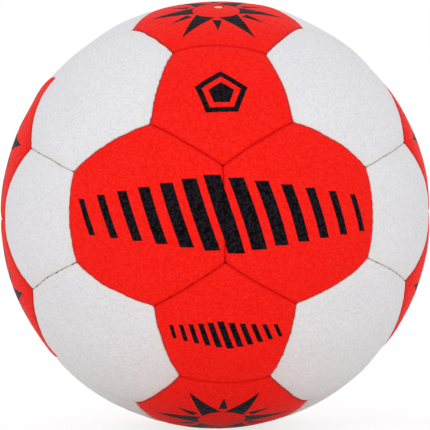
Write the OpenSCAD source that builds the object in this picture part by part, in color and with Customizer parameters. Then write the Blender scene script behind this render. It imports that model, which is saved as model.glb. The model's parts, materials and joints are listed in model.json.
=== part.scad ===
// Hand-stitched ball of 32 panels: 20 hexagons and 12 pentagons, backed with cloth and sewn
// together over a rubber bladder that is filled through a valve in one top hexagon.
// Origin at the ball's centre, +Z up, the front seam between two hexagons faces -Y.

/* [Ball] */
// Diameter over the crowns of two opposite panels
ball_d = 175; // [150:1:200]
// How far a panel's crown stands above the middle of its seams
crown_rise = 0.4; // [0.3:0.05:0.9]

/* [Cover] */
// Thickness of the cover skin and of its turned-in rim
skin_t = 1.3; // [0.9:0.1:1.8]
// Depth of the turned-in rim, from the seam's lip to its inner edge
rim_depth = 3.4; // [2.8:0.1:4.5]
// Radius of the round where the skin turns into the seam
lip_r = 1.2; // [1:0.1:2]
// Angle at which that round leaves the panel's skin
lip_a = 16; // [12:1:24]
// Distance between the rims of two neighbouring panels
seam_gap = 0.1; // [0.05:0.05:0.3]

/* [Backing] */
// Width of the channel for the thread, between rim and backing
channel_w = 1.1; // [1:0.1:1.6]
// Gap that glue fills between one layer and the next
glue_gap = 0.05; // [0.02:0.01:0.1]

/* [Thread] */
// Diameter of the waxed thread
thread_d = 0.8; // [0.5:0.1:0.9]
// Distance from a panel's corner to the end of a strand
strand_inset = 2.4; // [2.2:0.1:4]

/* [Bladder] */
// Wall thickness of the bladder
bladder_t = 0.9; // [0.6:0.1:1.5]
// Gap between the bladder and the rims and backings round it
bladder_gap = 0.15; // [0.05:0.05:0.3]

/* [Valve] */
// Lean of the valve from straight up towards the front
valve_lean = 17.5; // [14:0.5:24]
// Lean of the valve towards the right
valve_side = 1; // [-3:0.5:3]
// Diameter of the plug's tip that shows in the cover
plug_tip_d = 3.6; // [3.2:0.1:4.4]
// Diameter of the needle's hole in the plug
needle_d = 2.2; // [2:0.1:2.4]
// Depth of the needle's hole
needle_depth = 9; // [6:0.5:11]
// How far the plug's tip lies below the cover's surface
plug_recess = 0.4; // [0.2:0.1:0.8]
// Diameter of the plug's body inside the housing
plug_body_d = 5.4; // [5:0.1:6.4]
// Length of the plug's body
plug_body_l = 8; // [7:0.5:10]
// Clearance of the plug in the cover's hole
tip_gap = 0.2; // [0.1:0.05:0.4]
// Diameter of the housing's neck, through bladder and backing
neck_d = 10; // [9:0.5:13]
// Diameter of the housing's stem inside the bladder
stem_d = 8.6; // [8.2:0.2:10]
// Diameter of the flange that is bonded inside the bladder
flange_d = 32; // [24:1:40]
// Thickness of that flange
flange_t = 1.2; // [0.8:0.1:1.8]
// Rubber left below the plug's body
stem_floor_t = 2; // [1.5:0.5:3]

/* [Hidden] */
$fn = 72;
golden = (1 + sqrt(5)) / 2;
near_share = 1 / golden;
far_share = golden;

ball_red = [0.86, 0.06, 0.05];
ball_white = [0.86, 0.86, 0.87];
cloth_grey = [0.72, 0.70, 0.66];
thread_white = [0.90, 0.88, 0.84];
bladder_black = [0.12, 0.12, 0.13];
housing_black = [0.20, 0.20, 0.21];
plug_cream = [0.93, 0.86, 0.66];

// Angles between a panel's axis and the middle of its edge, from the centres' directions
hex_edge_a = atan(1 / golden / golden);
pent_edge_a = acos((golden + 1) / sqrt(golden * golden + 1) / sqrt(3)) - hex_edge_a;
// Two panel centres closer than this share an edge
neighbour_a = 45;

crown_r = ball_d / 2;
lip_level_r = crown_r - crown_rise;
rim_inner_r = lip_level_r - rim_depth;
bladder_r = rim_inner_r - bladder_gap;
bladder_inner_r = bladder_r - bladder_t;
half_gap = seam_gap / 2;
rim_back = half_gap + skin_t;
backing_edge = rim_back + channel_w;
strand_path_r = (lip_level_r - skin_t + rim_inner_r) / 2;
// Heights along the valve's axis, from the ball's centre
neck_top = crown_r - crown_rise / 2 - skin_t - tip_gap;
shoulder = bladder_inner_r - flange_t;
plug_bottom = shoulder - plug_body_l;
stem_bottom = plug_bottom - stem_floor_t;
plug_top = crown_r - plug_recess;
overrun = 3;

// Panels: name, outward direction, number of edges, colour
panels = [
    ["front_left_hexagon", [-near_share, -far_share, 0], 6, ball_red],
    ["front_right_hexagon", [near_share, -far_share, 0], 6, ball_red],
    ["back_left_hexagon", [-near_share, far_share, 0], 6, ball_red],
    ["back_right_hexagon", [near_share, far_share, 0], 6, ball_red],
    ["top_front_hexagon", [0, -near_share, far_share], 6, ball_red],
    ["top_back_hexagon", [0, near_share, far_share], 6, ball_red],
    ["bottom_front_hexagon", [0, -near_share, -far_share], 6, ball_red],
    ["bottom_back_hexagon", [0, near_share, -far_share], 6, ball_red],
    ["left_upper_hexagon", [-far_share, 0, near_share], 6, ball_red],
    ["left_lower_hexagon", [-far_share, 0, -near_share], 6, ball_red],
    ["right_upper_hexagon", [far_share, 0, near_share], 6, ball_red],
    ["right_lower_hexagon", [far_share, 0, -near_share], 6, ball_red],
    ["upper_front_left_hexagon", [-1, -1, 1], 6, ball_white],
    ["upper_front_right_hexagon", [1, -1, 1], 6, ball_white],
    ["upper_back_left_hexagon", [-1, 1, 1], 6, ball_white],
    ["upper_back_right_hexagon", [1, 1, 1], 6, ball_white],
    ["lower_front_left_hexagon", [-1, -1, -1], 6, ball_white],
    ["lower_front_right_hexagon", [1, -1, -1], 6, ball_white],
    ["lower_back_left_hexagon", [-1, 1, -1], 6, ball_white],
    ["lower_back_right_hexagon", [1, 1, -1], 6, ball_white],
    ["front_upper_pentagon", [0, -far_share, 1], 5, ball_red],
    ["front_lower_pentagon", [0, -far_share, -1], 5, ball_red],
    ["back_upper_pentagon", [0, far_share, 1], 5, ball_red],
    ["back_lower_pentagon", [0, far_share, -1], 5, ball_red],
    ["top_left_pentagon", [-1, 0, far_share], 5, ball_white],
    ["top_right_pentagon", [1, 0, far_share], 5, ball_white],
    ["bottom_left_pentagon", [-1, 0, -far_share], 5, ball_white],
    ["bottom_right_pentagon", [1, 0, -far_share], 5, ball_white],
    ["left_front_pentagon", [-far_share, -1, 0], 5, ball_white],
    ["right_front_pentagon", [far_share, -1, 0], 5, ball_white],
    ["left_back_pentagon", [-far_share, 1, 0], 5, ball_white],
    ["right_back_pentagon", [far_share, 1, 0], 5, ball_white],
];
valve_panel = "top_front_hexagon";

function unit(v) = v / norm(v);
function edge_a(edges) = edges == 6 ? hex_edge_a : pent_edge_a;

// Direction of any one panel that shares an edge with p
function neighbour(p) =
    [for (q = panels) if (q[0] != p[0] && unit(q[1]) * unit(p[1]) > cos(neighbour_a)) q[1]][0];

// A panel's outer face is a sphere, flatter in its middle than the ball: its centre is moved
// out along the panel's axis so that it passes through the crown and the lip level
function dome_shift(edges) =
    (crown_r * crown_r - lip_level_r * lip_level_r)
    / (crown_r - lip_level_r * cos(edge_a(edges))) / 2;

// Half the angle that one edge spans at the ball's centre
function half_edge_a(edges) = atan(sin(edge_a(edges)) * tan(180 / edges));

// Turns +Z to the panel's outward direction, and +X to the middle of one edge
module at_panel(p) {
    z = unit(p[1]);
    side = neighbour(p);
    x = unit(side - (side * z) * z);
    y = cross(z, x);
    multmatrix([
        [x[0], y[0], z[0], 0],
        [x[1], y[1], z[1], 0],
        [x[2], y[2], z[2], 0]
    ]) children();
}

// Turns +Z square to the seam plane of edge i, with +X to the middle of that edge
module at_seam(edges, i) {
    rotate([0, 0, i * 360 / edges]) rotate([0, edge_a(edges) - 90, 0]) children();
}

// Outer face of a panel, moved in by depth
module dome(edges, depth) {
    shift = dome_shift(edges);
    translate([0, 0, shift]) sphere(r = crown_r - shift - depth);
}

// The ball's sector between a panel's seam planes, moved in by setback from each of them
module sector(edges, setback) {
    intersection_for (i = [0 : edges - 1])
        at_seam(edges, i) translate([-ball_d, -ball_d, setback]) cube(2 * ball_d);
}

// What the round of a lip takes off along one seam, as a ring round the seam plane's axis.
// The round rises above the lip level, so that it crosses the panel's dome at lip_a
module lip_cut(edges) {
    centre = [lip_level_r - lip_r * cos(lip_a), half_gap + lip_r];
    leave = centre + lip_r * [cos(lip_a), -sin(lip_a)];
    far = leave + (overrun + crown_rise) * [1, 1 / tan(lip_a)];
    sweep = 2 * half_edge_a(edges) + 2 * overrun / crown_r * 180 / PI;
    rotate([0, 0, -sweep / 2])
        rotate_extrude(angle = sweep)
            difference() {
                polygon([[centre[0], -overrun], [far[0], -overrun], far, leave, centre]);
                translate(centre) circle(r = lip_r);
            }
}

// The solid dome between the seam planes, with its lips rounded one after another
module rounded_block(edges, last) {
    if (last < 0)
        intersection() {
            dome(edges, 0);
            sector(edges, half_gap);
        }
    else
        difference() {
            rounded_block(edges, last - 1);
            at_seam(edges, last) lip_cut(edges);
        }
}

// Cover panel: a domed skin whose edge turns in to a rim that meets its neighbours' rims
module cover_panel(edges) {
    difference() {
        rounded_block(edges, edges - 1);
        intersection() {
            dome(edges, skin_t);
            sector(edges, rim_back);
        }
        sphere(r = rim_inner_r);
    }
}

// Cloth backing: lies in the panel, between its skin and the bladder
module backing(edges) {
    difference() {
        intersection() {
            dome(edges, skin_t + glue_gap);
            sector(edges, backing_edge);
        }
        sphere(r = rim_inner_r);
    }
}

// The strand that runs along each rim, on its inner side
module rim_strands(edges) {
    sweep = 2 * half_edge_a(edges) - 2 * strand_inset / strand_path_r * 180 / PI;
    for (i = [0 : edges - 1])
        at_seam(edges, i)
            rotate([0, 0, -sweep / 2])
                rotate_extrude(angle = sweep)
                    translate([strand_path_r, rim_back + channel_w / 2]) circle(d = thread_d, $fn = 24);
}

// Turns +Z to the valve's axis, which passes through the ball's centre
module at_valve() {
    rotate([valve_lean, valve_side, 0]) children();
}

module panel(p) {
    color(p[3])
        if (p[0] == valve_panel)
            difference() {
                at_panel(p) cover_panel(p[2]);
                at_valve() cylinder(d = plug_tip_d + 2 * tip_gap, h = ball_d);
            }
        else
            at_panel(p) cover_panel(p[2]);
}

module backings(edges) {
    color(cloth_grey)
        for (p = panels) if (p[2] == edges)
            difference() {
                at_panel(p) backing(edges);
                if (p[0] == valve_panel)
                    at_valve() cylinder(d = neck_d + 2 * tip_gap, h = ball_d);
            }
}

module seam_threads() {
    color(thread_white)
        for (p = panels) at_panel(p) rim_strands(p[2]);
}

module bladder() {
    color(bladder_black)
        difference() {
            sphere(r = bladder_r);
            sphere(r = bladder_inner_r);
            at_valve() cylinder(d = neck_d + 2 * glue_gap, h = ball_d);
        }
}

// Rubber housing: neck out to the cover, flange bonded inside the bladder, stem inwards
module valve_housing() {
    color(housing_black)
        at_valve()
            difference() {
                union() {
                    translate([0, 0, stem_bottom])
                        cylinder(d = stem_d, h = shoulder - stem_bottom + flange_t / 2);
                    translate([0, 0, shoulder]) cylinder(d = neck_d, h = neck_top - shoulder);
                    difference() {
                        intersection() {
                            sphere(r = bladder_inner_r - glue_gap);
                            cylinder(d = flange_d, h = ball_d);
                        }
                        sphere(r = bladder_inner_r - glue_gap - flange_t);
                    }
                }
                plug_space(glue_gap);
            }
}

// The plug's outline, larger by grow all round, and open above the tip
module plug_space(grow) {
    translate([0, 0, plug_bottom - grow])
        cylinder(d = plug_body_d + 2 * grow, h = plug_body_l + 2 * grow);
    translate([0, 0, plug_bottom]) cylinder(d = plug_tip_d + 2 * grow, h = ball_d);
}

// Self-sealing plug: a body held in the housing and a tip that shows in the cover's hole
module valve_plug() {
    color(plug_cream)
        at_valve()
            difference() {
                union() {
                    translate([0, 0, plug_bottom]) cylinder(d = plug_body_d, h = plug_body_l);
                    translate([0, 0, plug_bottom])
                        cylinder(d = plug_tip_d, h = plug_top - plug_bottom);
                }
                translate([0, 0, plug_top - needle_depth])
                    cylinder(d = needle_d, h = needle_depth + overrun);
            }
}

for (p = panels) panel(p);
backings(6);  // hexagon_backings
backings(5);  // pentagon_backings
seam_threads();
bladder();
valve_housing();
valve_plug();
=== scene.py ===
import json
import math

import bpy
import numpy as np
from mathutils import Matrix, Vector


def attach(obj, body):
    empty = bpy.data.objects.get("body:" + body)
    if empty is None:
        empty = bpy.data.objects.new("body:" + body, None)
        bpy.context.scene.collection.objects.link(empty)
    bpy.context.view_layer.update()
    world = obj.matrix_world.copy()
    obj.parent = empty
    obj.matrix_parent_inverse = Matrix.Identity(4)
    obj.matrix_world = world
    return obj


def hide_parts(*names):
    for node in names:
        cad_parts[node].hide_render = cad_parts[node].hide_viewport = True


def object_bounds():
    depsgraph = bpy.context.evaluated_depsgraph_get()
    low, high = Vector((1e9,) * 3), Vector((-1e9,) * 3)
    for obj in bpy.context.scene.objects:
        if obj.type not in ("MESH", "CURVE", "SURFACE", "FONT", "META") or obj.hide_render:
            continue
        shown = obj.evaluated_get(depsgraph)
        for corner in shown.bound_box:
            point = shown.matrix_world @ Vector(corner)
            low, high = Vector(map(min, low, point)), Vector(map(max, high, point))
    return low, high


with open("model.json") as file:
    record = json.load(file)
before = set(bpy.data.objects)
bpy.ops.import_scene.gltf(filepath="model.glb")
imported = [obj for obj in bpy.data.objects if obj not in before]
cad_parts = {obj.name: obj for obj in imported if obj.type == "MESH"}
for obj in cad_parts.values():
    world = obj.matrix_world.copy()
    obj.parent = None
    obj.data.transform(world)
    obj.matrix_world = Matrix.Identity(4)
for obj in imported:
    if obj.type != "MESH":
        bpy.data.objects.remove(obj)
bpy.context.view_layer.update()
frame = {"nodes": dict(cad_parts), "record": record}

# A sewn ball of 32 panels. Lengths are in millimetres until a mesh is made, angles in degrees.
# Origin at the ball's centre, Z up, and the front looks along -Y.
metre = 0.001
golden = (1 + math.sqrt(5)) / 2
near, far = 1 / golden, golden
slotOfNode = {part["node"]: part["material_slot"] for part in frame["record"]["subparts"]}
print("frame loaded:", len(frame["nodes"]), "nodes")

ball = {
    "crownRadius": 87.5,
    "lipRadius": 87.1,       # to the middle of a seam, before the lips turn in
    "skin": 1.3,             # thickness of the cover
    "rimRadius": 83.7,       # to the inner edge of the turned-in rims
    "clearance": 0.25,       # between the skin's underside and its backing
}

# Directions of the panels' middles, from the ball's centre
panelPlaces = {
    "front_left_hexagon": (-near, -far, 0), "front_right_hexagon": (near, -far, 0),
    "back_left_hexagon": (-near, far, 0), "back_right_hexagon": (near, far, 0),
    "top_front_hexagon": (0, -near, far), "top_back_hexagon": (0, near, far),
    "bottom_front_hexagon": (0, -near, -far), "bottom_back_hexagon": (0, near, -far),
    "left_upper_hexagon": (-far, 0, near), "left_lower_hexagon": (-far, 0, -near),
    "right_upper_hexagon": (far, 0, near), "right_lower_hexagon": (far, 0, -near),
    "upper_front_left_hexagon": (-1, -1, 1), "upper_front_right_hexagon": (1, -1, 1),
    "upper_back_left_hexagon": (-1, 1, 1), "upper_back_right_hexagon": (1, 1, 1),
    "lower_front_left_hexagon": (-1, -1, -1), "lower_front_right_hexagon": (1, -1, -1),
    "lower_back_left_hexagon": (-1, 1, -1), "lower_back_right_hexagon": (1, 1, -1),
    "front_upper_pentagon": (0, -far, 1), "front_lower_pentagon": (0, -far, -1),
    "back_upper_pentagon": (0, far, 1), "back_lower_pentagon": (0, far, -1),
    "top_left_pentagon": (-1, 0, far), "top_right_pentagon": (1, 0, far),
    "bottom_left_pentagon": (-1, 0, -far), "bottom_right_pentagon": (1, 0, -far),
    "left_front_pentagon": (-far, -1, 0), "right_front_pentagon": (far, -1, 0),
    "left_back_pentagon": (-far, 1, 0), "right_back_pentagon": (far, 1, 0),
}
panelNames = list(panelPlaces)

view = {
    "frame": 430,                 # width of the picture in pixels
    "outline": 213.7,             # radius of the ball's outline, in pixels
    "centre": (215.4, 215.0),     # the ball's centre, in pixels
    "distance": 11.1,             # from the ball's centre, in ball radii
    "turn": (-0.16, 2.30, 0.88),  # about the camera's right, up and backward axes
    "sensor": 36.0,
    "reach": 20.0,                # how far the camera sees, in metres
}


# A point's place before the camera is the turn times (x, z, -y), so the transpose leads back
def makeCamera(p):
    turn = Vector([math.radians(a) for a in p["turn"]])
    facing = Matrix(((1, 0, 0), (0, 0, 1), (0, -1, 0)))
    toWorld = (Matrix.Rotation(turn.length, 3, turn.normalized()) @ facing).transposed()
    data = bpy.data.cameras.new("camera")
    data.sensor_width = p["sensor"]
    focal = p["outline"] * math.sqrt(p["distance"] ** 2 - 1)
    data.lens = focal * p["sensor"] / p["frame"]
    data.shift_x = (p["frame"] / 2 - p["centre"][0]) / p["frame"]
    data.shift_y = (p["centre"][1] - p["frame"] / 2) / p["frame"]
    data.clip_end = p["reach"]
    camera = bpy.data.objects.new("camera", data)
    away = p["distance"] * ball["crownRadius"] * metre
    camera.matrix_world = Matrix.Translation(toWorld @ Vector((0, 0, away))) @ toWorld.to_4x4()
    bpy.context.scene.collection.objects.link(camera)
    bpy.context.scene.camera = camera


makeCamera(view)
bpy.context.scene.view_settings.view_transform = "Standard"
print("camera placed")


def unit(v):
    v = np.asarray(v, float)
    return v / np.linalg.norm(v, axis=-1, keepdims=True)


# Sum of plane waves, 0.7 to 1.4 of them to a wavelength, each with its own direction and phase;
# varies by about 1
def softNoise(points, wavelength, seed, waves=26):
    rng = np.random.default_rng(seed)
    heading = unit(rng.normal(size=(waves, 3)))
    rate = rng.uniform(0.7, 1.4, waves) * 2 * math.pi / wavelength
    phase = rng.uniform(0, 2 * math.pi, waves)
    return np.sin(points @ (heading * rate[:, None]).T + phase).sum(-1) / math.sqrt(waves / 2)


def makeMesh(name, points, faces, uv=None, marks=None):
    mesh = bpy.data.meshes.new(name)
    mesh.from_pydata((points * metre).tolist(), [], faces)
    mesh.polygons.foreach_set("use_smooth", np.ones(len(mesh.polygons), bool))
    if uv is not None:
        corner = np.zeros(len(mesh.loops), np.int32)
        mesh.loops.foreach_get("vertex_index", corner)
        layer = mesh.uv_layers.new(name="panel")
        layer.data.foreach_set("uv", uv[corner].astype(np.float32).ravel())
    for key, values in (marks or {}).items():
        layer = mesh.attributes.new(key, "FLOAT", "POINT")
        layer.data.foreach_set("value", values.astype(np.float32))
    mesh.update()
    piece = bpy.data.objects.new(name, mesh)
    bpy.context.scene.collection.objects.link(piece)
    return piece


# Quads between each row of a closed grid and the next one; rows run outwards and columns
# run counterclockwise as seen from outside
def gridFaces(rows, columns, wrapRows=False):
    r = np.arange(rows if wrapRows else rows - 1)[:, None]
    c = np.arange(columns)[None, :]
    nextRow, nextColumn = (r + 1) % rows, (c + 1) % columns
    corners = (r * columns + c, nextRow * columns + c,
               nextRow * columns + nextColumn, r * columns + nextColumn)
    return np.stack(np.broadcast_arrays(*corners), -1).reshape(-1, 4).tolist()


# Triangles between one row and a single point
def fanFaces(tip, first, columns, outwards):
    c = first + np.arange(columns)
    following = first + (np.arange(columns) + 1) % columns
    tips = np.full(columns, tip)
    order = (tips, c, following) if outwards else (c, tips, following)
    return np.stack(order, -1).tolist()


seamShape = {
    "gap": 0.008,            # from the seam's plane to each rim
    "gapWave": 0.06,         # how much wider it is between two stitches, at most
    "gapShare": (0.45, 0.55, 2.1),       # share of that: middle, range, turn from gap to gap
    "valley": 0.34,          # gentle fall of the skin towards the seam
    "valleyReach": 2.0,
    "lipDepth": 0.36,        # how far a lip rolls down into the seam
    "lipReach": 0.85,        # how far from the seam the roll begins
    "cornerDip": 0.35,       # how much deeper the skin lies at a three-panel corner
    "cornerReach": 4.5,
    "cornerHole": 0.22,      # how far the rims stay apart at the corner
    "cornerHoleReach": 0.7,
    "midRise": 0.40,         # how much higher the middle of a seam lies
    "midReach": 9.0,
    "bow": 0.4,              # bulge of the seams away from the front and the back
    "bowReach": 10.0,
    "bowMiddle": 0.2,        # it grows from the front's middle to this share of the radius
    "bowRim": 4.0,           # how steeply it grows from the rim of the front view
    "stitchPitch": 3.5,
    "stitchPull": 0.12,      # depth of the dimple at each stitch
    "stitchWidth": 0.62,
    "stitchReach": 1.1,      # of the dimple, across the seam
    "stitchStrength": (0.75, 0.45, 2.4),     # middle, range, turn from stitch to stitch
    "stitchEnd": 0.02,       # no stitches where the seam's bow is a smaller share than this
    "zigzag": 0.04,          # sideways step of the seam from stitch to stitch
    "boldZigzag": 0.09,      # the same where a seam shows its stitches
    "zigzagReach": 3.0,
    "boldness": 2.17,        # spreads over the seams how much they show their stitches
    "stitchShadeLength": 1.0,       # of the painted shade at a stitch hole, along the seam
    "stitchShadeReach": 0.42,       # and across it
    "wander": 0.09,          # slow sideways wander of the seam
    "wanderLength": 11.0, "wanderWaves": 8,
}
# Where sewing by hand left the ball uneven. Each place is given as right and up in the front
# view, and the back has the same half round.
drifts = {
    # Corners and seams beside their true places: place, then pull to the right and up
    "pulls": [
        (-35, 74, 1.8, 0.6), (35, 74, 1.4, 0.8), (-18, 64, -0.4, -0.6), (18, 64, 0.2, -2.4),
        (0, 66, 0, 1.6),
        (-28, 35, 0.9, 0), (28, 35, -0.9, 0.1), (0, 18, -0.3, 0.9),
        (-57, 18, -0.5, 0), (57, 18, -0.8, 0), (-74, 28, 5.4, -0.9), (74, 28, -3.2, -0.9),
        (0, -18, 0, -0.8), (-28, -35, 1.4, 0.4), (28, -35, -0.9, 0.5),
        (-57, -18, 0.3, -0.5), (57, -18, -0.3, -0.7),
        (-74, -28, 3.4, -0.4), (74, -28, -4.0, 0.5), (-66, -25, 0, 1.0), (66, -25, 0, 0.7),
        (-18, -64, 0.6, 1.4), (18, -64, 0.6, 0.4), (0, -66, 0, -0.6),
        (-35, -74, 0.7, -0.8), (35, -74, 2.9, -2.5),
        (-64, 57, -2.5, 0), (-70, 44, -3.5, 0), (-80, 20, -4.0, 0), (-85, 0, -0.5, 0),
        (-80, -22, -3.5, 0), (-70, -44, -2.0, 0), (-64, -57, -7.0, 0),
        (64, 57, 8.0, 0), (75, 40, 2.5, 0), (82, 17, 3.0, 0), (85, 0, 2.5, 0),
        (80, -22, 3.5, 0), (64, -57, 8.0, 0),
    ],
    "pullReach": 14.0,
    # Seams that bow more than the rest: place of the seam's middle, and how much more
    "bulges": [
        (-44, 27, 0.65), (44, 27, 0.75), (-44, -27, 0.8), (44, -27, 0.2), (-63, 0, 0.3),
        (-23, 50, 0.3), (-23, -50, 0.45), (23, -50, 0.85),
    ],
    "nearby": 8.0,           # a seam's middle this near to a place is the one meant
    # Where the skin stands higher or lower: place, height and reach
    "lifts": [(-69, 53, 0.65, 5.0), (22.5, 83.8, 0.65, 7.0), (-47.5, 72.5, -0.3, 11.0)],
    "stretch": 0.0055,       # how much longer the ball is along its longest line
    "longest": (0.98, 0.0, 0.2),
}
relief = {
    "swell": 0.10, "swellLength": 26.0, "swellSeed": 11,       # slow unevenness of the stuffing
    "swellEdge": 5.0,                                          # it fades out this near to a seam
    "crease": 0.018, "creaseLength": 4.2, "creaseSeed": 12,    # soft creases
}
grid = {
    "perSide": 64, "middleRows": 20, "valleyRows": 9, "lipRows": 13, "wallRows": 4,
    "underRows": 7, "mouthRows": 6,
    "valleyWidth": 4.5,      # from the seam to the first middle row
    "valleyPower": 1.6,      # rows lie closer together towards the seam
}
valve = {
    "lean": 17.5, "side": 1.0,               # of its axis, to the front and to the right
    "holeRadius": 2.0, "holeRound": 0.35,
    "dimple": 0.25, "dimpleReach": 3.2,
}
neighbourAngle = 45.0        # middles of neighbours lie closer than this, and others don't
farOff = 20.0                # stands for a seam that isn't near
mapSpan = 100.0              # millimetres across a panel's UV map

hexEdge = math.atan(1 / golden ** 2)
pentEdge = math.acos((golden + 1) / math.sqrt(golden ** 2 + 1) / math.sqrt(3)) - hexEdge
lean, side = math.radians(valve["lean"]), math.radians(valve["side"])
valveAxis = np.array([
    math.cos(lean) * math.sin(side), -math.sin(lean), math.cos(lean) * math.cos(side)])


# A place in the front view, on the ball's surface, and the same place half round
def placesOf(right, up):
    forward = math.sqrt(ball["lipRadius"] ** 2 - right ** 2 - up ** 2)
    return [np.array([turn * right, -turn * forward, up]) for turn in (1, -1)]


# The bow that all seams have and what a bulge near this seam's middle adds
def bowOf(middle):
    more = [extra for right, up, extra in drifts["bulges"] for place in placesOf(right, up)
            if np.linalg.norm(middle * ball["lipRadius"] - place) < drifts["nearby"]]
    return seamShape["bow"] + sum(more)


# Directions right and up along the surface, as seen from outside
def rightAndUp(axis):
    up = unit(np.array([0, 0, 1]) - axis[2] * axis)
    return np.cross(up, axis), up


# The seams round one panel, counterclockwise as seen from outside
def seamsRound(name):
    axis = unit(panelPlaces[name])
    right, up = rightAndUp(axis)
    edges = 6 if "hexagon" in name else 5
    edge = hexEdge if edges == 6 else pentEdge
    seams = []
    for other in panelNames:
        place = unit(panelPlaces[other])
        if other == name or place @ axis < math.cos(math.radians(neighbourAngle)):
            continue
        toward = unit(place - (place @ axis) * axis)
        middle = math.cos(edge) * axis + math.sin(edge) * toward
        outward = math.cos(edge) * toward - math.sin(edge) * axis
        lower, higher = sorted((panelNames.index(name), panelNames.index(other)))
        shared = outward if panelNames[lower] == name else -outward
        seams.append({
            "turn": math.atan2(toward @ up, toward @ right),
            "middle": middle,
            "outward": outward,                       # square to the seam's plane
            "ahead": np.cross(axis, toward),
            "across": shared,                         # the same for both panels, as is "along"
            "along": np.cross(middle, shared),
            "sameColour": slotOfNode[name] == slotOfNode[other],
            "bow": bowOf(middle),
            "seed": 100 * lower + higher,
        })
    half = math.atan(math.sin(edge) * math.tan(math.pi / edges))
    return sorted(seams, key=lambda seam: seam["turn"]), edge, half


# Offset sphere of a panel: passes through the crown and through the lip radius at its edges
def domeRadius(directions, axis, edge, depth=0.0):
    crown, lip = ball["crownRadius"], ball["lipRadius"]
    shift = (crown ** 2 - lip ** 2) / (crown - lip * math.cos(edge)) / 2
    cosine = directions @ axis
    return shift * cosine + np.sqrt((crown - shift - depth) ** 2 - shift ** 2 * (1 - cosine ** 2))


# Weight that falls off as exp(-distance^2 / (2 reach^2)) round a place
def weightRound(points, place, reach):
    return np.exp(-((points - place) ** 2).sum(-1) / (2 * reach ** 2))[..., None]


# Points pulled sideways with their heights kept, then the lifts of height, then the stretch
# along the ball's longest line
def sewn(points):
    moved = points.copy()
    for right, up, pullRight, pullUp in drifts["pulls"]:
        for place in placesOf(right, up):
            aside = unit([-place[1], place[0], 0])
            pull = pullRight * aside + pullUp * np.cross(unit(place), aside)
            moved = moved + weightRound(points, place, drifts["pullReach"]) * pull
    height = np.linalg.norm(points, axis=-1, keepdims=True)
    for right, up, lift, reach in drifts["lifts"]:
        for place in placesOf(right, up):
            height = height + lift * weightRound(points, place, reach)
    moved = unit(moved) * height
    longest = unit(drifts["longest"])
    return moved + drifts["stretch"] * (moved @ longest)[..., None] * longest


# Unevenness from one stitch to the next: middle + range * sin(number * turn + seed)
def uneven(share, number, seed):
    middle, spread, turn = share
    return middle + spread * np.sin(number * turn + seed)


# Sideways shift of the skin, depth of its dimples and strength of the painted shade at its
# stitch holes, from each seam's own bow, wander and stitches; both panels of a seam get the
# same values there
def seamPull(directions, seams, half):
    s = seamShape
    shift = np.zeros_like(directions)
    dip = np.zeros(directions.shape[:-1])
    stitchShade = np.zeros(directions.shape[:-1])
    for seam in seams:
        inside = -(directions @ seam["outward"]) * ball["lipRadius"]
        angle = np.arctan2(directions @ seam["along"], directions @ seam["middle"])
        run = angle * ball["lipRadius"]
        # Bow: 1 in the seam's middle and 0 at its ends, away from the front's middle
        middle = 1 - np.clip(angle / half, -1, 1) ** 2
        away = seam["middle"] * np.array([1, 0, 1])
        away = away / max(np.linalg.norm(away), s["bowMiddle"])
        facing = min(1.0, s["bowRim"] * abs(seam["middle"][1]))
        bulge = seam["bow"] * (away @ seam["across"]) * facing
        bow = bulge * middle * np.exp(-(inside / s["bowReach"]) ** 2)
        # Wander and a zigzag that turns at each stitch
        wave = np.stack([run, np.full_like(run, seam["seed"]), np.zeros_like(run)], -1)
        wander = s["wander"] * softNoise(wave, s["wanderLength"], seam["seed"], s["wanderWaves"])
        sawtooth = np.abs(((run / s["stitchPitch"]) % 1) * 2 - 1) * 2 - 1
        bold = max(math.sin(s["boldness"] * seam["seed"]), 0)
        tooth = s["zigzag"] + bold * (s["boldZigzag"] - s["zigzag"])
        fade = np.exp(-(inside / s["zigzagReach"]) ** 2)
        jog = (tooth * sawtooth + wander) * np.sqrt(middle) * fade
        shift += (bow + jog)[..., None] * seam["across"]
        # A dimple and a spot of painted shade at each stitch hole
        number = np.floor(run / s["stitchPitch"])
        offset = run - (number + 0.5) * s["stitchPitch"]
        strength = uneven(s["stitchStrength"], number, seam["seed"])
        stitched = middle > s["stitchEnd"]
        dimple = np.exp(-(offset / s["stitchWidth"]) ** 2
                        - (np.maximum(inside, 0) / s["stitchReach"]) ** 2)
        dip += s["stitchPull"] * strength * dimple * stitched
        mark = np.exp(-(offset / s["stitchShadeLength"]) ** 2 - (inside / s["stitchShadeReach"]) ** 2)
        stitchShade = np.maximum(stitchShade, bold * strength * mark * stitched)
        dip -= s["midRise"] * middle * np.exp(-(inside / s["midReach"]) ** 2)
    return shift, dip, stitchShade


# Distance of a rim from its seam's plane: it opens between two stitches as cos^2 of the run,
# by a share of each gap's own, and at the corners
def rimGap(run, seed, half):
    s = seamShape
    share = uneven(s["gapShare"], np.round(run / s["stitchPitch"]), seed)
    wave = np.cos(math.pi * run / s["stitchPitch"]) ** 2
    apart = s["gap"] + s["gapWave"] * np.maximum(share, 0) * wave
    fromCorner = half * ball["lipRadius"] - np.abs(run)
    return apart + s["cornerHole"] * np.exp(-(fromCorner / s["cornerHoleReach"]) ** 2)


# A panel's map: each point at its distance along the surface from the panel's middle
def panelMap(directions, axis):
    right, up = rightAndUp(axis)
    turn = np.arccos(np.clip(directions @ axis, -1, 1))
    stretch = ball["crownRadius"] * turn / np.maximum(np.sin(turn), 1e-9)
    places = np.stack([directions @ right * stretch, directions @ up * stretch], -1)
    return places / mapSpan + 0.5


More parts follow.
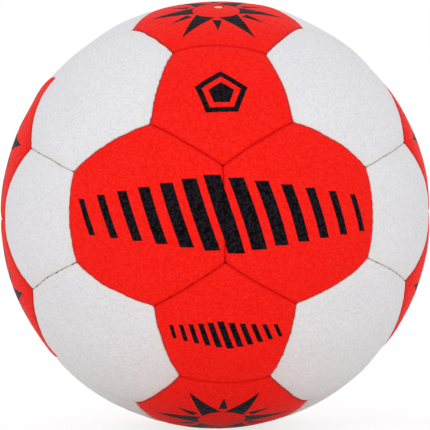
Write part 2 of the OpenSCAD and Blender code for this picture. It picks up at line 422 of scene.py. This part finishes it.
# A closed skin on a grid of columns round the panel and rows from its middle, or from the
# valve's hole, over the lip, down the rim and back along the underside
def makePanel(name):
    s = seamShape
    axis = unit(panelPlaces[name])
    seams, edge, half = seamsRound(name)
    hasValve = name == "top_front_hexagon"
    pole = valveAxis if hasValve else axis
    t = np.linspace(-half, half, grid["perSide"], endpoint=False)
    rimline = np.concatenate([
        np.cos(t)[:, None] * seam["middle"] + np.sin(t)[:, None] * seam["ahead"]
        for seam in seams])
    inward = -np.repeat([seam["outward"] for seam in seams], grid["perSide"], axis=0)
    columns = len(rimline)
    spoke = unit(rimline - (rimline @ pole)[:, None] * pole)
    rise, fall = inward @ pole, (inward * spoke).sum(1)
    reach, lag = np.hypot(rise, fall), np.arctan2(-fall, rise)
    runs = [t * np.sign(seam["ahead"] @ seam["along"]) for seam in seams]
    run = np.concatenate(runs) * ball["lipRadius"]
    seed = np.repeat([seam["seed"] for seam in seams], grid["perSide"])
    apart = rimGap(run, seed, half)

    # Angle from the pole at which a column is a given distance inside its seam's plane
    def angleAt(distance, radius):
        return np.arccos(distance / (radius * reach)) - lag

    def direct(angle):
        return np.cos(angle)[..., None] * pole + np.sin(angle)[..., None] * spoke

    # Middle of the skin, then the lip as a quarter ellipse: reach (1 - sin b), depth (1 - cos b)
    hole = valve["holeRadius"] + valve["holeRound"]
    start = math.asin(hole / ball["crownRadius"]) if hasValve else 0
    shares = np.linspace(0, 1, grid["middleRows"] + 1)[0 if hasValve else 1:-1]
    edgeAngle = angleAt(grid["valleyWidth"], ball["lipRadius"])
    angles = [start + f * (edgeAngle - start) for f in shares]
    for f in np.linspace(0, 1, grid["valleyRows"] + 1)[:-1]:
        beyond = (1 - f) ** grid["valleyPower"] * (grid["valleyWidth"] - apart - s["lipReach"])
        angles.append(angleAt(apart + s["lipReach"] + beyond, ball["lipRadius"]))
    drops = [np.zeros(columns) for _ in angles]
    for b in np.linspace(0, math.pi / 2, grid["lipRows"]):
        drop = s["lipDepth"] * (1 - math.cos(b))
        distance = apart + s["lipReach"] * (1 - math.sin(b))
        angles.append(angleAt(distance, ball["lipRadius"] - drop))
        drops.append(np.full(columns, drop))
    outer = direct(np.array(angles))
    shift, dip, stitchShade = seamPull(outer, seams, half)

    # Distances from the nearest seam, from the nearest one between two panels of one colour,
    # and from the nearest corner
    fromSeams = np.array([-(outer @ seam["outward"]) * ball["lipRadius"] for seam in seams])
    inside = fromSeams.min(0)
    otherColour = np.array([not seam["sameColour"] for seam in seams])
    fromKin = (fromSeams + farOff * otherColour[:, None, None]).min(0)
    corners = unit(np.array([
        math.cos(half) * seam["middle"] - math.sin(half) * seam["ahead"] for seam in seams]))
    fromCorner = np.min([np.linalg.norm(outer - corner, axis=-1) for corner in corners], axis=0)
    fromCorner = fromCorner * ball["lipRadius"]

    # Heights of the skin: dome, lip, dimples, valleys and corners, and its slow unevenness
    radii = domeRadius(outer, axis, edge) - np.array(drops)
    dip = dip + s["cornerDip"] * np.exp(-(fromCorner / s["cornerReach"]) ** 2)
    dip = dip + s["valley"] * np.exp(-np.maximum(inside, 0) / s["valleyReach"])
    place = outer * radii[..., None]
    quiet = 1 - np.exp(-(inside / relief["swellEdge"]) ** 2)
    swell = relief["swell"] * softNoise(place, relief["swellLength"], relief["swellSeed"]) * quiet
    crease = relief["crease"] * softNoise(place, relief["creaseLength"], relief["creaseSeed"])
    if hasValve:
        fromValve = np.linalg.norm(outer - valveAxis, axis=-1) * ball["crownRadius"]
        around = np.exp(-((fromValve - valve["holeRadius"]) / valve["dimpleReach"]) ** 2)
        dip = dip + valve["dimple"] * around
        swell, crease = swell * (1 - around), crease * (1 - around)
    radii = radii - dip + swell + crease
    rows = [outer * radii[..., None] + shift]
    ways = [outer]

    def addRow(way, radius, shifted=True):
        moved = seamPull(way, seams, half)[0] if shifted else 0
        rows.append((way * radius[:, None] + moved)[None])
        ways.append(way[None])

    # Down the rim, across its inner edge, up its back and along the underside of the skin
    for f in np.linspace(0, 1, grid["wallRows"])[1:]:
        radius = radii[-1] + f * (ball["rimRadius"] - radii[-1])
        addRow(direct(angleAt(apart, radius)), radius)
    back = apart + ball["skin"]
    radius = np.full(columns, ball["rimRadius"])
    addRow(direct(angleAt(back, radius)), radius)
    stop = math.asin(valve["holeRadius"] / (ball["crownRadius"] - ball["skin"])) if hasValve else 0
    first = angleAt(back, ball["lipRadius"] - ball["skin"])
    for f in np.linspace(0, 1, grid["underRows"] + 1)[:grid["underRows"] + int(hasValve)]:
        way = direct(first + f * (stop - first))
        addRow(way, domeRadius(way, axis, edge, ball["skin"]) - ball["clearance"])
    if hasValve:
        # Up the hole's wall and over its rounded mouth
        for b in np.linspace(0, math.pi / 2, grid["mouthRows"])[:-1]:
            wide = valve["holeRadius"] + valve["holeRound"] * (1 - math.cos(b))
            high = radii[0] - valve["holeRound"] * (1 - math.sin(b))
            addRow(direct(np.arcsin(wide / high)), high, shifted=False)

    points, ways = np.concatenate(rows), np.concatenate(ways).reshape(-1, 3)
    count = len(points)
    points = sewn(points).reshape(-1, 3)
    # "stitch" holds the strength of the painted shade at the stitch holes
    marks = {"inside": np.maximum(inside, 0), "kin": np.maximum(fromKin, 0), "stitch": stitchShade}
    below = np.zeros((count - len(outer), columns))
    marks = {key: np.concatenate([mark, below]).ravel() for key, mark in marks.items()}
    faces = gridFaces(count, columns, wrapRows=hasValve)
    if not hasValve:
        # A point in the middle closes the skin above, and another one below
        crown = axis[None] * ball["crownRadius"]
        swell = relief["swell"] * softNoise(crown, relief["swellLength"], relief["swellSeed"])[0]
        inner = ball["crownRadius"] - ball["skin"] - ball["clearance"]
        tips = np.array([axis * (ball["crownRadius"] + swell), axis * inner])
        points = np.concatenate([points, sewn(tips)])
        ways = np.concatenate([ways, [axis], [axis]])
        atCrown = {"inside": farOff, "kin": farOff, "stitch": 0.0}
        marks = {key: np.concatenate([mark, [atCrown[key], 0.0]]) for key, mark in marks.items()}
        faces += fanFaces(count * columns, 0, columns, True)
        faces += fanFaces(count * columns + 1, (count - 1) * columns, columns, False)
    return makeMesh(name + "_skin", points, faces, panelMap(ways, axis), marks)


def addNode(tree, kind, inputs=None, **settings):
    made = tree.nodes.new(kind)
    for key, value in settings.items():
        setattr(made, key, value)
    for key, value in (inputs or {}).items():
        if isinstance(value, bpy.types.NodeSocket):
            tree.links.new(value, made.inputs[key])
        else:
            made.inputs[key].default_value = value
    return made


def calc(tree, operation, *values):
    return addNode(tree, "ShaderNodeMath", dict(enumerate(values)), operation=operation).outputs[0]


# 0 below low, 1 above high, and a smooth step between
def step(tree, value, low, high):
    inputs = {"Value": value, "From Min": low, "From Max": high}
    return addNode(tree, "ShaderNodeMapRange", inputs, interpolation_type="SMOOTHSTEP").outputs[0]


def blendColour(tree, share, first, second):
    inputs = {"Factor": share, 6: first, 7: second}
    return addNode(tree, "ShaderNodeMix", inputs, data_type="RGBA").outputs[2]


# first * second + third, for each part of a vector
def scaled(tree, first, second, third=(0, 0, 0)):
    inputs = {0: first, 1: second, 2: third}
    return addNode(tree, "ShaderNodeVectorMath", inputs, operation="MULTIPLY_ADD").outputs[0]


def newMaterial(name):
    material = bpy.data.materials.new(name)
    material.use_nodes = True
    tree = material.node_tree
    tree.nodes.clear()
    shader = addNode(tree, "ShaderNodeBsdfPrincipled")
    addNode(tree, "ShaderNodeOutputMaterial", {"Surface": shader.outputs[0]})
    return material, tree, shader


printing = {
    "soft": 0.12,            # width of a print's edge
    "slant": 0.32,           # of the bars: millimetres aside for each one up
    # Rows of bars: pitch, bars on each side of the middle one, and widths and heights of the
    # middle one and of the last
    "band": (9.2, 6, (6.6, 2.6), (29.0, 14.0)),
    "smallBars": (4.1, 5, (2.7, 1.5), (12.5, 6.0)),
    "badge": (4.2, 6.4, 8.6),          # reach of the core, and of the ring inside and outside
    # Darts in a burst: number, turn, where the foot and the tip lie, width of the foot
    "largeDarts": (6, 0, 9.5, 28.0, 8.64),
    "smallDarts": (6, 30, 12.5, 22.0, 3.78),
}


# A row of slanted bars: the further a bar is from the middle, the thinner and shorter it is
def barsMask(tree, x, y, row):
    soft = printing["soft"]
    pitch, bars, width, height = row
    along = calc(tree, "DIVIDE", calc(tree, "MULTIPLY_ADD", y, printing["slant"], x), pitch)
    number = calc(tree, "ROUND", along)
    off = calc(tree, "MULTIPLY", calc(tree, "SUBTRACT", along, number), pitch)
    share = calc(tree, "DIVIDE", calc(tree, "ABSOLUTE", number), bars)
    halfWidth = calc(tree, "MULTIPLY_ADD", share, (width[1] - width[0]) / 2, width[0] / 2)
    halfHeight = calc(tree, "MULTIPLY_ADD", share, (height[1] - height[0]) / 2, height[0] / 2)
    fromSide = calc(tree, "SUBTRACT", halfWidth, calc(tree, "ABSOLUTE", off))
    fromEnd = calc(tree, "SUBTRACT", halfHeight, calc(tree, "ABSOLUTE", y))
    inWidth, inHeight = [step(tree, value, -soft, soft) for value in (fromSide, fromEnd)]
    inBar = calc(tree, "MULTIPLY", inWidth, inHeight)
    inRow = calc(tree, "LESS_THAN", share, 1.01)       # the last bar's share is 1
    return calc(tree, "MULTIPLY", inBar, inRow)


# The band's middle lies on the seam beside the panel
def bandMask(offset):
    return lambda tree, x, y: barsMask(tree, calc(tree, "ADD", x, offset), y, printing["band"])


def smallBarsMask(tree, x, y):
    return barsMask(tree, x, y, printing["smallBars"])


# Distance from the middle to the side of a regular outline that passes through the point
def outlineDistance(tree, x, y, sides, turn):
    best = None
    for k in range(sides):
        a = math.radians(turn + 360 * k / sides)
        reach = calc(tree, "MULTIPLY_ADD", x, math.cos(a), calc(tree, "MULTIPLY", y, math.sin(a)))
        best = reach if best is None else calc(tree, "MAXIMUM", best, reach)
    return best


# A solid pentagon inside a pentagon ring
def badgeMask(tree, x, y):
    soft = printing["soft"]
    distance = outlineDistance(tree, x, y, sides=5, turn=-90)
    pastCore, pastInside, pastOutside = [
        step(tree, distance, reach - soft, reach + soft) for reach in printing["badge"]]
    core = calc(tree, "SUBTRACT", 1, pastCore)
    ring = calc(tree, "MULTIPLY", pastInside, calc(tree, "SUBTRACT", 1, pastOutside))
    return calc(tree, "MAXIMUM", core, ring)


# Tapering darts to a number of directions: width falls from the foot to the tip
def dartsMask(tree, x, y, darts):
    soft = printing["soft"]
    count, turn, foot, tip, width = darts
    radius = calc(tree, "SQRT", calc(tree, "MULTIPLY_ADD", x, x, calc(tree, "MULTIPLY", y, y)))
    around = calc(tree, "ARCTAN2", y, x)
    angle = calc(tree, "MULTIPLY_ADD", around, count / (2 * math.pi), -turn * count / 360)
    fold = calc(tree, "SUBTRACT", angle, calc(tree, "ROUND", angle))
    sine = calc(tree, "SINE", calc(tree, "MULTIPLY", fold, 2 * math.pi / count))
    aside = calc(tree, "ABSOLUTE", calc(tree, "MULTIPLY", radius, sine))
    half = addNode(tree, "ShaderNodeMapRange", {
        "Value": radius, "From Min": foot, "From Max": tip, "To Min": width / 2, "To Max": 0.0})
    fromSide = calc(tree, "SUBTRACT", half.outputs[0], aside)
    inWidth = step(tree, fromSide, -soft / 2, soft)
    return calc(tree, "MULTIPLY", inWidth, step(tree, radius, foot - soft, foot + soft))


def burstMask(tree, x, y):
    large = dartsMask(tree, x, y, printing["largeDarts"])
    small = dartsMask(tree, x, y, printing["smallDarts"])
    return calc(tree, "MAXIMUM", large, small)


leather = {
    "red": (0.90, 0.0095, 0.006, 1), "redPale": (0.96, 0.021, 0.0132, 1),
    "white": (0.738, 0.735, 0.766, 1), "whitePale": (0.835, 0.83, 0.855, 1),
    "whiteWarm": (0.77, 0.755, 0.725, 1),         # beside the seams
    "warmReach": 6.0, "warmShare": 0.6,           # how far from the seam, and how much at it
    "ink": (0.0018, 0.0012, 0.0018, 1), "inkPale": (0.0185, 0.0135, 0.0195, 1),
    "pebble": 1.1, "pebblePower": 1.4,            # size; a higher power makes flatter pebbles
    "bendScale": 420.0, "bend": 1.6,              # noise that bends the pebbles, and how far
    "wrinkle": 0.42, "wrinkleHeight": 0.45,       # size, and height beside the pebbles'
    "redWrinkle": (0.62, 0.62, 0.95),             # on red they are longer and lie flat
    "grainDepth": 0.30,
    # Pale tone, partly the leather's own uneven colour and partly painted highlight on the pebbles
    # and wrinkles with painted shade in the hollows between them: what pebbles and slow blotches
    # add, then for each colour what the wrinkles add, and the sums at which the tone begins and is
    # whole
    "pebbleTone": 0.5, "blotchTone": 0.14, "blotchScale": 55.0,
    "whiteTone": (0.36, 0.30, 0.85), "redTone": (0.85, 0.66, 1.02),
    "redShade": (0.82, 0.0035, 0.0022, 1), "redShadeWidth": 1.2,       # painted shade in a seam between two reds
    "edgeShade": (0.56, 0.026, 0.021, 1), "edgeShadeWidth": 1.5,       # painted shade on red, along a white panel
    "whiteShade": (0.53, 0.53, 0.54, 1), "whiteShadeWidth": 0.4,       # painted shade between two whites
    "redStitch": (0.42, 0.006, 0.005, 1),         # painted shade at the stitch holes
    "whiteStitch": (0.24, 0.21, 0.20, 1),
    "stitchShadeTone": (0.2, 1.0),                     # strengths at which the painted shade at a stitch begins and is whole
    "roughness": 0.42, "wrinkleRoughness": 0.16, "inkRoughness": -0.04,    # the last two are added
    "specular": 0.025,
}


# Grained synthetic leather: pebbles from cells bent by noise, with fine wrinkles over them
def makeLeather(name, colour, paleColour, maskOf=None, warmColour=None):
    q = leather
    beside = "white" if warmColour else "red"
    material, tree, shader = newMaterial(name)
    where = addNode(tree, "ShaderNodeTexCoord").outputs["Object"]
    bend = addNode(tree, "ShaderNodeTexNoise", {
        "Vector": where, "Scale": q["bendScale"], "Detail": 2.0}).outputs["Color"]
    cells = addNode(tree, "ShaderNodeTexVoronoi", {
        "Vector": scaled(tree, bend, (q["bend"] * metre,) * 3, where),
        "Scale": 1 / (q["pebble"] * metre), "Smoothness": 0.5}, feature="SMOOTH_F1")
    fine = addNode(tree, "ShaderNodeTexNoise", {
        "Vector": where if warmColour else scaled(tree, where, q["redWrinkle"]),
        "Scale": 1 / (q["wrinkle"] * metre), "Detail": 3.0, "Roughness": 0.6}).outputs[0]
    slow = addNode(tree, "ShaderNodeTexNoise", {
        "Vector": where, "Scale": q["blotchScale"], "Detail": 3.0}).outputs[0]
    hollow = calc(tree, "POWER", cells.outputs["Distance"], q["pebblePower"])
    pebbles = calc(tree, "SUBTRACT", 1, hollow)
    bump = addNode(tree, "ShaderNodeBump", {
        "Strength": 1.0, "Distance": q["grainDepth"] * metre,
        "Height": calc(tree, "MULTIPLY_ADD", fine, q["wrinkleHeight"], pebbles)})

    # Paler on the pebbles and wrinkles and darker in their hollows: partly the leather's own tone,
    # partly painted highlight and painted shade
    share, low, high = q[beside + "Tone"]
    tone = calc(tree, "MULTIPLY_ADD", pebbles, q["pebbleTone"],
                calc(tree, "MULTIPLY", slow, q["blotchTone"]))
    tone = step(tree, calc(tree, "MULTIPLY_ADD", fine, share, tone), low, high)
    base = blendColour(tree, tone, colour, paleColour)
    inside = addNode(tree, "ShaderNodeAttribute", attribute_name="inside").outputs["Fac"]
    if warmColour:
        beSeam = calc(tree, "SUBTRACT", 1, step(tree, inside, 0.0, q["warmReach"]))
        base = blendColour(tree, calc(tree, "MULTIPLY", beSeam, q["warmShare"]), base, warmColour)
    kin = addNode(tree, "ShaderNodeAttribute", attribute_name="kin").outputs["Fac"]
    # Painted shade in the seams between two panels of one colour
    depth = calc(tree, "SUBTRACT", 1, step(tree, kin, 0.0, q[beside + "ShadeWidth"]))
    base = blendColour(tree, depth, base, q[beside + "Shade"])
    # On red, painted shade also along the seams with a white panel
    if not warmColour:
        nearEdge = calc(tree, "SUBTRACT", 1, step(tree, inside, 0.0, q["edgeShadeWidth"]))
        base = blendColour(tree, calc(tree, "SUBTRACT", nearEdge, depth), base, q["edgeShade"])
    # Painted shade at the stitch holes
    stitch = addNode(tree, "ShaderNodeAttribute", attribute_name="stitch").outputs["Fac"]
    base = blendColour(tree, step(tree, stitch, *q["stitchShadeTone"]), base, q[beside + "Stitch"])
    rough = calc(tree, "MULTIPLY_ADD", fine, q["wrinkleRoughness"], q["roughness"])
    if maskOf:
        uv = addNode(tree, "ShaderNodeUVMap", uv_map="panel").outputs[0]
        onPanel = scaled(tree, uv, (mapSpan, mapSpan, 0), (-mapSpan / 2, -mapSpan / 2, 0))
        parts = addNode(tree, "ShaderNodeSeparateXYZ", {0: onPanel})
        mask = maskOf(tree, parts.outputs[0], parts.outputs[1])
        # Ink with the same tone: its pale specks on the grain are partly painted highlight
        base = blendColour(tree, mask, base, blendColour(tree, tone, q["ink"], q["inkPale"]))
        rough = calc(tree, "MULTIPLY_ADD", mask, q["inkRoughness"], rough)
    tree.links.new(base, shader.inputs["Base Color"])
    tree.links.new(rough, shader.inputs["Roughness"])
    tree.links.new(bump.outputs[0], shader.inputs["Normal"])
    shader.inputs["Specular IOR Level"].default_value = q["specular"]
    return material


offsetOfHex = hexEdge * ball["crownRadius"]
redPrints = {
    "BandLeft": bandMask(-offsetOfHex), "BandRight": bandMask(offsetOfHex),
    "Badge": badgeMask, "SmallBars": smallBarsMask, "Burst": burstMask,
}
redLeathers = {key: makeLeather("coverRed" + key, leather["red"], leather["redPale"], mask)
               for key, mask in redPrints.items()}
whiteLeather = makeLeather("coverWhite", leather["white"], leather["whitePale"],
                           warmColour=leather["whiteWarm"])
# Prints of the red panels; the others have a burst
printOf = {
    "front_left_hexagon": "BandLeft", "front_right_hexagon": "BandRight",
    "back_right_hexagon": "BandLeft", "back_left_hexagon": "BandRight",
    "front_upper_pentagon": "Badge", "back_upper_pentagon": "Badge",
    "front_lower_pentagon": "SmallBars", "back_lower_pentagon": "SmallBars",
}
print("leathers made")

for name in panelNames:
    piece = makePanel(name)
    red = slotOfNode[name] == "cover_red"
    piece.data.materials.append(redLeathers[printOf.get(name, "Burst")] if red else whiteLeather)
    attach(piece, "root")
    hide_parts(name)
print("panels made:", len(panelNames))

# Plain finishes: two colours, scale of the noise between them, roughness, depth of the bump
finishes = {
    "plugRubber": ((0.94, 0.69, 0.45, 1), (0.98, 0.78, 0.54, 1), 900.0, 0.5, 0.03),
    "valveRubber": ((0.03, 0.03, 0.032, 1), (0.06, 0.06, 0.065, 1), 400.0, 0.6, 0.04),
    "bladderRubber": ((0.02, 0.02, 0.022, 1), (0.07, 0.07, 0.07, 1), 120.0, 0.5, 0.05),
    "backingCloth": ((0.5, 0.47, 0.42, 1), (0.68, 0.65, 0.58, 1), 900.0, 0.9, 0.1),
    "seamThread": ((0.72, 0.70, 0.64, 1), (0.86, 0.84, 0.78, 1), 1500.0, 0.6, 0.05),
}


def plainMaterial(name):
    colour, other, scale, roughness, depth = finishes[name]
    material, tree, shader = newMaterial(name)
    where = addNode(tree, "ShaderNodeTexCoord").outputs["Object"]
    noise = addNode(tree, "ShaderNodeTexNoise", {"Vector": where, "Scale": scale, "Detail": 4.0})
    base = blendColour(tree, noise.outputs[0], colour, other)
    bump = addNode(tree, "ShaderNodeBump", {
        "Distance": depth * metre, "Height": noise.outputs[0]})
    tree.links.new(base, shader.inputs["Base Color"])
    tree.links.new(bump.outputs[0], shader.inputs["Normal"])
    shader.inputs["Roughness"].default_value = roughness
    return material


plug = {
    "tipRadius": 1.8, "tipTop": 87.1, "tipRound": 0.4,
    "bodyRadius": 2.7, "bodyTop": 81.45, "bodyBottom": 73.45, "bodyRound": 0.3,
    "holeRadius": 1.1, "holeDepth": 9.0, "holeRound": 0.25,
    "turns": 72, "arcRows": 7,
}


# Profile of the plug, from the bottom of its hole, up and over the tip, and down to its foot:
# radius and height along the valve's axis, with each edge a quarter circle
def plugProfile(p):
    arc = np.linspace(0, math.pi / 2, p["arcRows"])

    def corner(radius, height, size, fromAngle):
        a = math.radians(fromAngle) - arc
        return np.stack([radius + size * np.cos(a), height + size * np.sin(a)], -1)

    hole, tip, body = p["holeRound"], p["tipRound"], p["bodyRound"]
    return np.concatenate([
        [[p["holeRadius"], p["tipTop"] - p["holeDepth"]]],
        corner(p["holeRadius"] + hole, p["tipTop"] - hole, hole, 180),
        corner(p["tipRadius"] - tip, p["tipTop"] - tip, tip, 90),
        [[p["tipRadius"], p["bodyTop"]]],
        corner(p["bodyRadius"] - body, p["bodyTop"] - body, body, 90),
        corner(p["bodyRadius"] - body, p["bodyBottom"] + body, body, 0),
    ])


# Lathe round the valve's axis, closed at both ends by a fan
def makePlug(p):
    profile = plugProfile(p)
    a = np.linspace(0, 2 * math.pi, p["turns"], endpoint=False)
    ahead = unit(np.cross([0, 1, 0], valveAxis))
    aside = np.cross(valveAxis, ahead)
    spoke = np.cos(a)[:, None] * ahead + np.sin(a)[:, None] * aside
    points = profile[:, None, :1] * spoke[None] + profile[:, None, 1:] * valveAxis
    tips = np.array([valveAxis * profile[0, 1], valveAxis * profile[-1, 1]])
    points = np.concatenate([points.reshape(-1, 3), tips])
    count, last = len(profile), (len(profile) - 1) * p["turns"]
    faces = gridFaces(count, p["turns"])
    faces += fanFaces(count * p["turns"], 0, p["turns"], True)
    faces += fanFaces(count * p["turns"] + 1, last, p["turns"], False)
    return makeMesh("plug_turned", points, faces)


turned = makePlug(plug)
turned.data.materials.append(plainMaterial("plugRubber"))
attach(turned, "root")
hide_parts("valve_plug")
print("plug made")

finishOfNode = {
    "valve_housing": "valveRubber", "bladder": "bladderRubber",
    "hexagon_backings": "backingCloth", "pentagon_backings": "backingCloth",
    "seam_threads": "seamThread",
}
innerFinishes = {
    finish: plainMaterial(finish) for finish in dict.fromkeys(finishOfNode.values())}
for name, finish in finishOfNode.items():
    node = frame["nodes"][name]
    node.data.materials.clear()
    node.data.materials.append(innerFinishes[finish])
print("inner nodes finished:", len(finishOfNode))

# Places and sizes in metres
studio = {
    "floorSize": 8.0, "floorColour": 0.30, "floorGlow": 0.76,
    "floorBounce": (0.95, 0.96, 0.91, 1), "bounceGlow": 0.03,
    "skyOnBall": 0.84, "skyTint": (0.985, 0.975, 1.0, 1),
    "lamps": [
        # name, place, size, power; each lamp faces the ball
        ("key", (-0.6, -2.1, 1.3), 1.8, 10.0),
        ("fill", (0.6, -1.9, 0.0), 1.2, 5.3),
    ],
}


# 1 for what the camera sees, also in a reflection or through glass, and 0 for light on the ball
def seenDirectly(tree):
    rays = addNode(tree, "ShaderNodeLightPath").outputs
    mirrored = calc(tree, "MAXIMUM", rays["Is Glossy Ray"], rays["Is Transmission Ray"])
    return calc(tree, "MAXIMUM", rays["Is Camera Ray"], mirrored)


def makeFloor(p, low):
    half = p["floorSize"] / 2
    corners = np.array([
        (-half, -half, low), (half, -half, low), (half, half, low), (-half, half, low)])
    floor = makeMesh("floor", corners / metre, [(0, 1, 2, 3)])
    material = bpy.data.materials.new("floorPaper")
    material.use_nodes = True
    tree = material.node_tree
    tree.nodes.clear()
    seen = seenDirectly(tree)
    paper = p["floorColour"]
    matte = addNode(tree, "ShaderNodeBsdfDiffuse", {"Color": (paper, paper, paper, 1)})
    glow = addNode(tree, "ShaderNodeEmission", {"Strength": p["floorGlow"]})
    lit = addNode(tree, "ShaderNodeAddShader", {0: matte.outputs[0], 1: glow.outputs[0]})
    bounce = addNode(tree, "ShaderNodeBsdfDiffuse", {"Color": p["floorBounce"]})
    shine = addNode(tree, "ShaderNodeEmission", {
        "Color": p["floorBounce"], "Strength": p["bounceGlow"]})
    thrown = addNode(tree, "ShaderNodeAddShader", {0: bounce.outputs[0], 1: shine.outputs[0]})
    both = addNode(tree, "ShaderNodeMixShader", {0: seen, 1: thrown.outputs[0], 2: lit.outputs[0]})
    addNode(tree, "ShaderNodeOutputMaterial", {"Surface": both.outputs[0]})
    floor.data.materials.append(material)


def makeLight(p):
    for name, place, size, power in p["lamps"]:
        data = bpy.data.lights.new(name, "AREA")
        data.size = size
        data.energy = power
        lamp = bpy.data.objects.new(name, data)
        lamp.location = place
        lamp.rotation_euler = (-Vector(place)).to_track_quat("-Z", "Y").to_euler()
        bpy.context.scene.collection.objects.link(lamp)
    world = bpy.data.worlds.new("studio")
    world.use_nodes = True
    tree = world.node_tree
    tree.nodes.clear()
    seen = seenDirectly(tree)
    strength = calc(tree, "MULTIPLY_ADD", seen, 1 - p["skyOnBall"], p["skyOnBall"])
    colour = blendColour(tree, seen, p["skyTint"], (1, 1, 1, 1))
    sky = addNode(tree, "ShaderNodeBackground", {"Color": colour, "Strength": strength})
    addNode(tree, "ShaderNodeOutputWorld", {"Surface": sky.outputs[0]})
    bpy.context.scene.world = world


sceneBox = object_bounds()
makeFloor(studio, sceneBox[0][2])
makeLight(studio)
print("studio lit")
